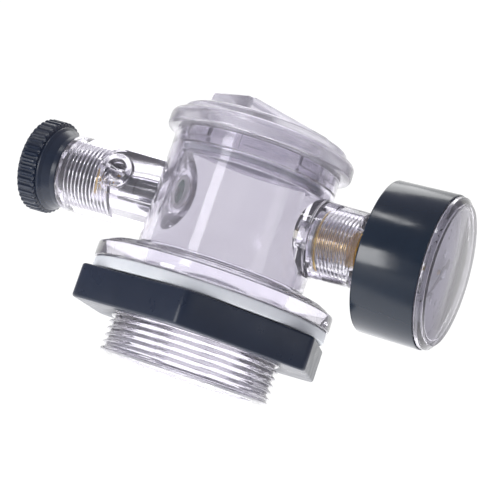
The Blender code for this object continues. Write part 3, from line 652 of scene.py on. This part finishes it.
def make_spring():
    """A closed-end compression spring on the spring carrier's body."""
    count = SPRING_TURNS * 24
    length = SPRING_END - SPRING_START
    route = []
    for k in range(count + 1):
        u = k / count
        # The end turns lie close together.
        v = u - 0.055 * math.sin(math.tau * u)
        a = math.tau * SPRING_TURNS * u
        x = SPRING_START + WIRE_R + (length - 2 * WIRE_R) * v
        route.append((x, SPRING_R * math.cos(a), AXIS_Z + SPRING_R * math.sin(a)))
    spring = wire("spring", route, WIRE_R)
    dress(spring, STEEL, "spring_carrier", "steel", "valve_spring")
    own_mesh(spring)


def make_valve():
    piston_rows = rounded([
        (0, -26.2),
        (1.4, -26.2, 0.2),
        (1.4, -27.4),
        (4.8, -27.4, 0.3),
        (4.8, -35.6, 0.2),
        (3.7, -35.6, 0.2),
        (3.7, -37.2, 0.2),
        (4.8, -37.2, 0.2),
        (4.8, -43.0, 0.3),
        (3.8, -43.0, 0.2),
        (3.8, -38.0, 0.2),
        (0, -38.0),
    ], 3)
    piston = solid("piston", piston_rows, ALONG_X, 64)
    dress(piston, PISTON, "poppet", "grey_plastic", "valve_piston")
    rows = [
        (2.2, -25.6),
        (4.9, -25.6, 0.25),
        (4.9, -27.1, 0.25),
        (1.7, -27.1, 0.2),
        (1.7, -25.6, 0.2),
        (2.2, -25.6),
    ]
    seal = solid("seal", rounded(rows)[:-1], ALONG_X, 64, ring=True)
    dress(seal, SEAL, "poppet", "green_rubber", "poppet_seal")
    rows = [
        (5.0, -23.9),
        (5.8, -23.9, 0.3),
        (5.8, -25.3, 0.2),
        (4.2, -25.3, 0.3),
        (4.5, -23.9, 0.4),
        (5.0, -23.9),
    ]
    seat = solid("seat", rounded(rows)[:-1], ALONG_X, 64, ring=True)
    dress(seat, NYLON, "fitting", "white_nylon", "seat_ring")


# ---- The gauge -----------------------------------------------------------------------------

def make_stem():
    rows = [
        (1.6, 55.4),
        *rounded([(1.6, 55.4), (6.5, 55.4, 0.2), (6.5, 52.4, 0.2), (5.9, 51.8)])[1:],
        *thread_rows(6.58, 51.4, 32.4, STEM_THREAD[0], 0.5, 0.7),
        (5.9, 31.8),
        (5.5, 31.6),
        (2.2, 31.6),
        (2.2, 35.6),
        (1.6, 35.6),
    ]
    stem = solid("stem", rows, ALONG_X, 96, STEM_THREAD, ring=True)
    # The block that carries the movement, and the foot that holds the coil
    block = prism("block", [(-6, -17.5), (6, -17.5), (6, 7), (-6, 7)], 55.2, 58.3, FACING, 0.3)
    foot = arc(20.5, -110.8, -74.8, 12) + arc(16.3, -74.8, -110.8, 12)
    add_to(stem, block, prism("foot", foot, 55.2, 65.5, FACING, 0.2))
    cut_from(stem, *(rod_at("screw_hole", 1.3, 54, 57.7, y, z) for y, z in CASE_SCREWS))
    shade(stem, 30)
    dress(stem, BRASS, "fitting", "brass", "gauge_stem")


def make_coil():
    """The pressure tube, a fixed coil that is left on no body."""
    outline = arc(19.5, -112, -380, 100) + arc(17.5, -380, -112, 100)
    coil = prism("coil", outline, 60.4, 65.2, FACING, 0.6)
    dress(coil, BRASS, None, "brass", "bourdon_tube")
    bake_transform(coil)


def make_case():
    rows = rounded([
        (24.2, 74.3),
        (26.05, 74.3, 0.25),
        (25.75, 53.0, 0.9),
        (24.9, 52.8, 0.4),
        (7.0, 52.8, 0.2),
        (7.0, 54.9, 0.2),
        (23.95, 54.9, 0.6),
        (23.95, 74.3, 0.2),
        (24.2, 74.3),
    ])[:-1]
    case = solid("case", rows, ALONG_X, 160, ring=True)
    cut_from(case, *(rod_at("case_hole", 1.5, 52, 56, y, z) for y, z in CASE_SCREWS))
    shade(case)
    dress(case, CASE, "fitting", "dark_plastic", "gauge_case")


def make_window():
    rows = rounded([
        (0, 77.6),
        (23.7, 77.6, 0.5),
        (24.0, 77.3, 0.3),
        (25.6, 76.0, 0.5),
        (25.6, 74.6, 0.2),
        (23.5, 74.6, 0.3),
        (23.5, 70.4, 0.2),
        (22.3, 70.4, 0.2),
        (22.1, 75.4, 0.5),
        (0, 75.5),
    ])
    window = solid("window", rows, ALONG_X, 160)
    dress(window, WINDOW, "fitting", "clear_plastic", "gauge_lens")


def make_dial():
    rows = rounded([(0, 70.1), (18.6, 70.1), (23.3, 70.1, 0.2), (23.3, 69.5, 0.1), (0, 69.5)])
    plate = solid("dial", rows, ALONG_X, 128)
    cut_from(plate, solid("hole", [(0, 72), (1.5, 72), (1.5, 68), (0, 68)], ALONG_X, 32))
    shade(plate)
    dress(plate, DIAL, "fitting", "dial_white", "gauge_dial")
    mesh = bpy.data.meshes.new("dial_marks")
    work = bmesh.new()
    x0, x1 = 70.1, 70.14

    def block(corners):
        low = [work.verts.new((x0 * MM, y * MM, (AXIS_Z + z) * MM)) for y, z in corners]
        high = [work.verts.new((x1 * MM, y * MM, (AXIS_Z + z) * MM)) for y, z in corners]
        n = len(corners)
        work.faces.new(high)
        work.faces.new(low[::-1])
        for j in range(n):
            k = (j + 1) % n
            work.faces.new((low[j], low[k], high[k], high[j]))

    for k in range(SCALE_STEPS + 1):
        angle = SCALE_START - SCALE_TURN * k / SCALE_STEPS
        major, medium = k % 10 == 0, k % 5 == 0
        inner = 16.4 if major else 17.2 if medium else 18.0
        half = 0.26 if major else 0.16
        c, s = math.cos(math.radians(angle)), math.sin(math.radians(angle))
        corners = ((inner, -half), (SCALE_R, -half), (SCALE_R, half), (inner, half))
        block([(r * c - w * s, r * s + w * c) for r, w in corners])
    pieces = 60
    for k in range(pieces):
        a, b = (SCALE_START - SCALE_TURN * n / pieces for n in (k, k + 1))
        block(arc(SCALE_R, a, b, 2) + arc(SCALE_R + 0.25, b, a, 2))
    bmesh.ops.recalc_face_normals(work, faces=work.faces)
    work.to_mesh(mesh)
    work.free()
    marks = bpy.data.objects.new("dial_marks", mesh)
    bpy.context.scene.collection.objects.link(marks)
    dress(marks, INK, "fitting", "black_paint")
    facing = Matrix(((0, 0, 1), (1, 0, 0), (0, 1, 0))).to_4x4()
    for k in range(LAST_NUMBER + 1):
        angle = math.radians(SCALE_START - SCALE_TURN * k / LAST_NUMBER)
        data = bpy.data.curves.new(f"numeral_{k}", "FONT")
        data.body = str(k)
        data.size = NUMBER_SIZE * MM
        data.align_x, data.align_y = "CENTER", "CENTER"
        data.extrude = 0.02 * MM
        text = bpy.data.objects.new(f"numeral_{k}", data)
        bpy.context.scene.collection.objects.link(text)
        y, z = NUMBER_R * math.cos(angle), AXIS_Z + NUMBER_R * math.sin(angle)
        text.matrix_world = Matrix.Translation(Vector((70.13, y, z)) * MM) @ facing
        bpy.context.view_layer.update()
        graph = bpy.context.evaluated_depsgraph_get()
        mesh = bpy.data.meshes.new_from_object(text.evaluated_get(graph))
        place = text.matrix_world.copy()
        bpy.data.objects.remove(text)
        number = bpy.data.objects.new(f"numeral_{k}", mesh)
        bpy.context.scene.collection.objects.link(number)
        number.matrix_world = place
        dress(number, INK, "fitting", "black_paint")


def make_pointer():
    turn = math.radians(SCALE_START)

    def spun(points):
        """Points in the dial's plane: the local X of a plate that lies across X is -Z."""
        out = []
        for y, z in points:
            a, b = y * math.cos(turn) - z * math.sin(turn), y * math.sin(turn) + z * math.cos(turn)
            out.append((-b, a))
        return out

    blade = [(2.0, 1.0), (17.4, 0.22), (17.4, -0.22), (2.0, -1.0)]
    tail = [(-6.6, -1.5), (-6.9, -0.8), (-6.9, 0.8), (-6.6, 1.5)]
    outline = blade + arc(2.5, -25, -155, 12) + tail + arc(2.5, 155, 25, 12)
    pointer = prism("pointer", spun(outline)[::-1], 72.0, 72.4, ALONG_X, 0.08)
    dress(pointer, POINTER, "pointer", "black_paint", "gauge_pointer")
    rows = rounded([(0, 73.5), (1.5, 73.5, 0.4), (1.9, 72.45, 0.1), (0, 72.45)])
    hub = solid("pointer_hub", rows, ALONG_X, 48)
    dress(hub, STEEL, "pointer", "steel")


def dress_movement():
    """The CAD's own small pieces keep their shape and get turned-metal and rubber finishes."""
    finishes = {
        "brass": BRASS, "steel": STEEL, "white_rubber": GASKET, "white_nylon": NYLON,
        "clear_plastic": CLEAR, "dark_plastic": SLATE, "grey_plastic": PISTON,
        "green_rubber": SEAL, "dial_white": DIAL, "black_paint": POINTER,
    }
    slots = {s["node"]: s["material_slot"] for s in frame["record"]["subparts"]}
    for name, node in frame["nodes"].items():
        node.data.materials.clear()
        node.data.materials.append(finishes[slots[name]])


# ---- The studio ----------------------------------------------------------------------------

def make_stage():
    mesh = bpy.data.meshes.new("floor")
    work = bmesh.new()
    bmesh.ops.create_circle(work, cap_ends=True, segments=96, radius=6.0)
    work.to_mesh(mesh)
    work.free()
    floor = bpy.data.objects.new("floor", mesh)
    floor.location.z = -0.45
    bpy.context.scene.collection.objects.link(floor)
    f = Finish("pale_floor")
    f.colour(f.noise(3, 2), (0.3, (0.9, 0.9, 0.9)), (0.7, (0.93, 0.93, 0.93)))
    f.shader.inputs["Roughness"].default_value = 0.7
    f.shader.inputs["Emission Color"].default_value = (1, 1, 1, 1)
    # The floor is lit from below, except in front of the part.
    depth = f.add("ShaderNodeVectorMath", operation="DOT_PRODUCT")
    depth.inputs[1].default_value = (-0.379, 0.925, 0)
    f.link(f.place, depth.inputs[0])
    glow = f.between(depth.outputs["Value"], 0.0, 1.0, -0.26, -0.14)
    f.link(glow, f.shader.inputs["Emission Strength"])
    floor.data.materials.append(f.material)


def lamp(name, place, aim, size, power):
    """A rectangular lamp, with its place, aim and size in metres."""
    data = bpy.data.lights.new(name, "AREA")
    data.shape = "RECTANGLE"
    data.size, data.size_y = size
    data.energy = power
    light = bpy.data.objects.new(name, data)
    bpy.context.scene.collection.objects.link(light)
    light.location = place
    light.rotation_euler = (Vector(aim) - Vector(place)).to_track_quat("-Z", "Y").to_euler()


def make_lights():
    world = bpy.data.worlds.new("studio")
    bpy.context.scene.world = world
    world.use_nodes = True
    tree = world.node_tree
    background = tree.nodes["Background"]
    place = tree.nodes.new("ShaderNodeTexCoord")
    toward = tree.nodes.new("ShaderNodeVectorMath")
    toward.operation = "DOT_PRODUCT"
    toward.inputs[1].default_value = (-0.373, 0.8, 0.47)
    ramp = tree.nodes.new("ShaderNodeValToRGB")
    # A white backdrop behind the part in a dim room
    stops = (
        (0.0, (0.27, 0.27, 0.3)),
        (0.5, (0.42, 0.41, 0.46)),
        (0.85, (0.5, 0.48, 0.55)),
        (0.89, (1, 1, 1)),
    )
    elements = ramp.color_ramp.elements
    while len(elements) < len(stops):
        elements.new(0.5)
    for element, (position, colour) in zip(elements, stops):
        element.position, element.color = position, (*colour, 1)
    half = tree.nodes.new("ShaderNodeMapRange")
    half.inputs["From Min"].default_value = -1.0
    tree.links.new(place.outputs["Generated"], toward.inputs[0])
    tree.links.new(toward.outputs["Value"], half.inputs["Value"])
    tree.links.new(half.outputs["Result"], ramp.inputs["Fac"])
    tree.links.new(ramp.outputs["Color"], background.inputs["Color"])
    background.inputs["Strength"].default_value = 1.06
    centre = (0, 0, 0.05)
    lamp("left", (-0.42, -0.98, -0.16), centre, (0.28, 0.42), 3.0)
    lamp("top", (-0.45, -0.7, 0.95), centre, (0.5, 0.12), 1.6)
    lamp("right", (0.95, -0.35, 0.35), centre, (0.3, 0.6), 0.45)
    lamp("behind", (-0.38, 0.42, 0.92), centre, (0.6, 0.4), 1.6)
    lamp("back_right", (0.45, 0.95, 0.18), centre, (0.5, 0.5), 0.12)


def make_camera():
    az, el, roll = (math.radians(a) for a in (AZIMUTH, ELEVATION, ROLL))
    back = Vector((math.sin(az) * math.cos(el), -math.cos(az) * math.cos(el), math.sin(el)))
    right = Vector((0, 0, 1)).cross(back).normalized()
    up = back.cross(right)
    right, up = (
        right * math.cos(roll) + up * math.sin(roll),
        up * math.cos(roll) - right * math.sin(roll),
    )
    data = bpy.data.cameras.new("camera")
    data.lens = LENS
    data.sensor_width = 36.0
    data.clip_start, data.clip_end = 0.01, 50.0
    camera = bpy.data.objects.new("camera", data)
    bpy.context.scene.collection.objects.link(camera)
    turn = Matrix((right, up, back)).transposed().to_4x4()
    camera.matrix_world = Matrix.Translation((TARGET + back * DISTANCE) * MM) @ turn
    bpy.context.scene.camera = camera


make_camera()
make_head()
make_cap()
make_nut()
make_gasket()
make_knob()
make_spring()
make_valve()
make_stem()
make_coil()
make_case()
make_window()
make_dial()
make_pointer()
dress_movement()
make_stage()
make_lights()
bpy.context.scene.view_settings.view_transform = "Standard"
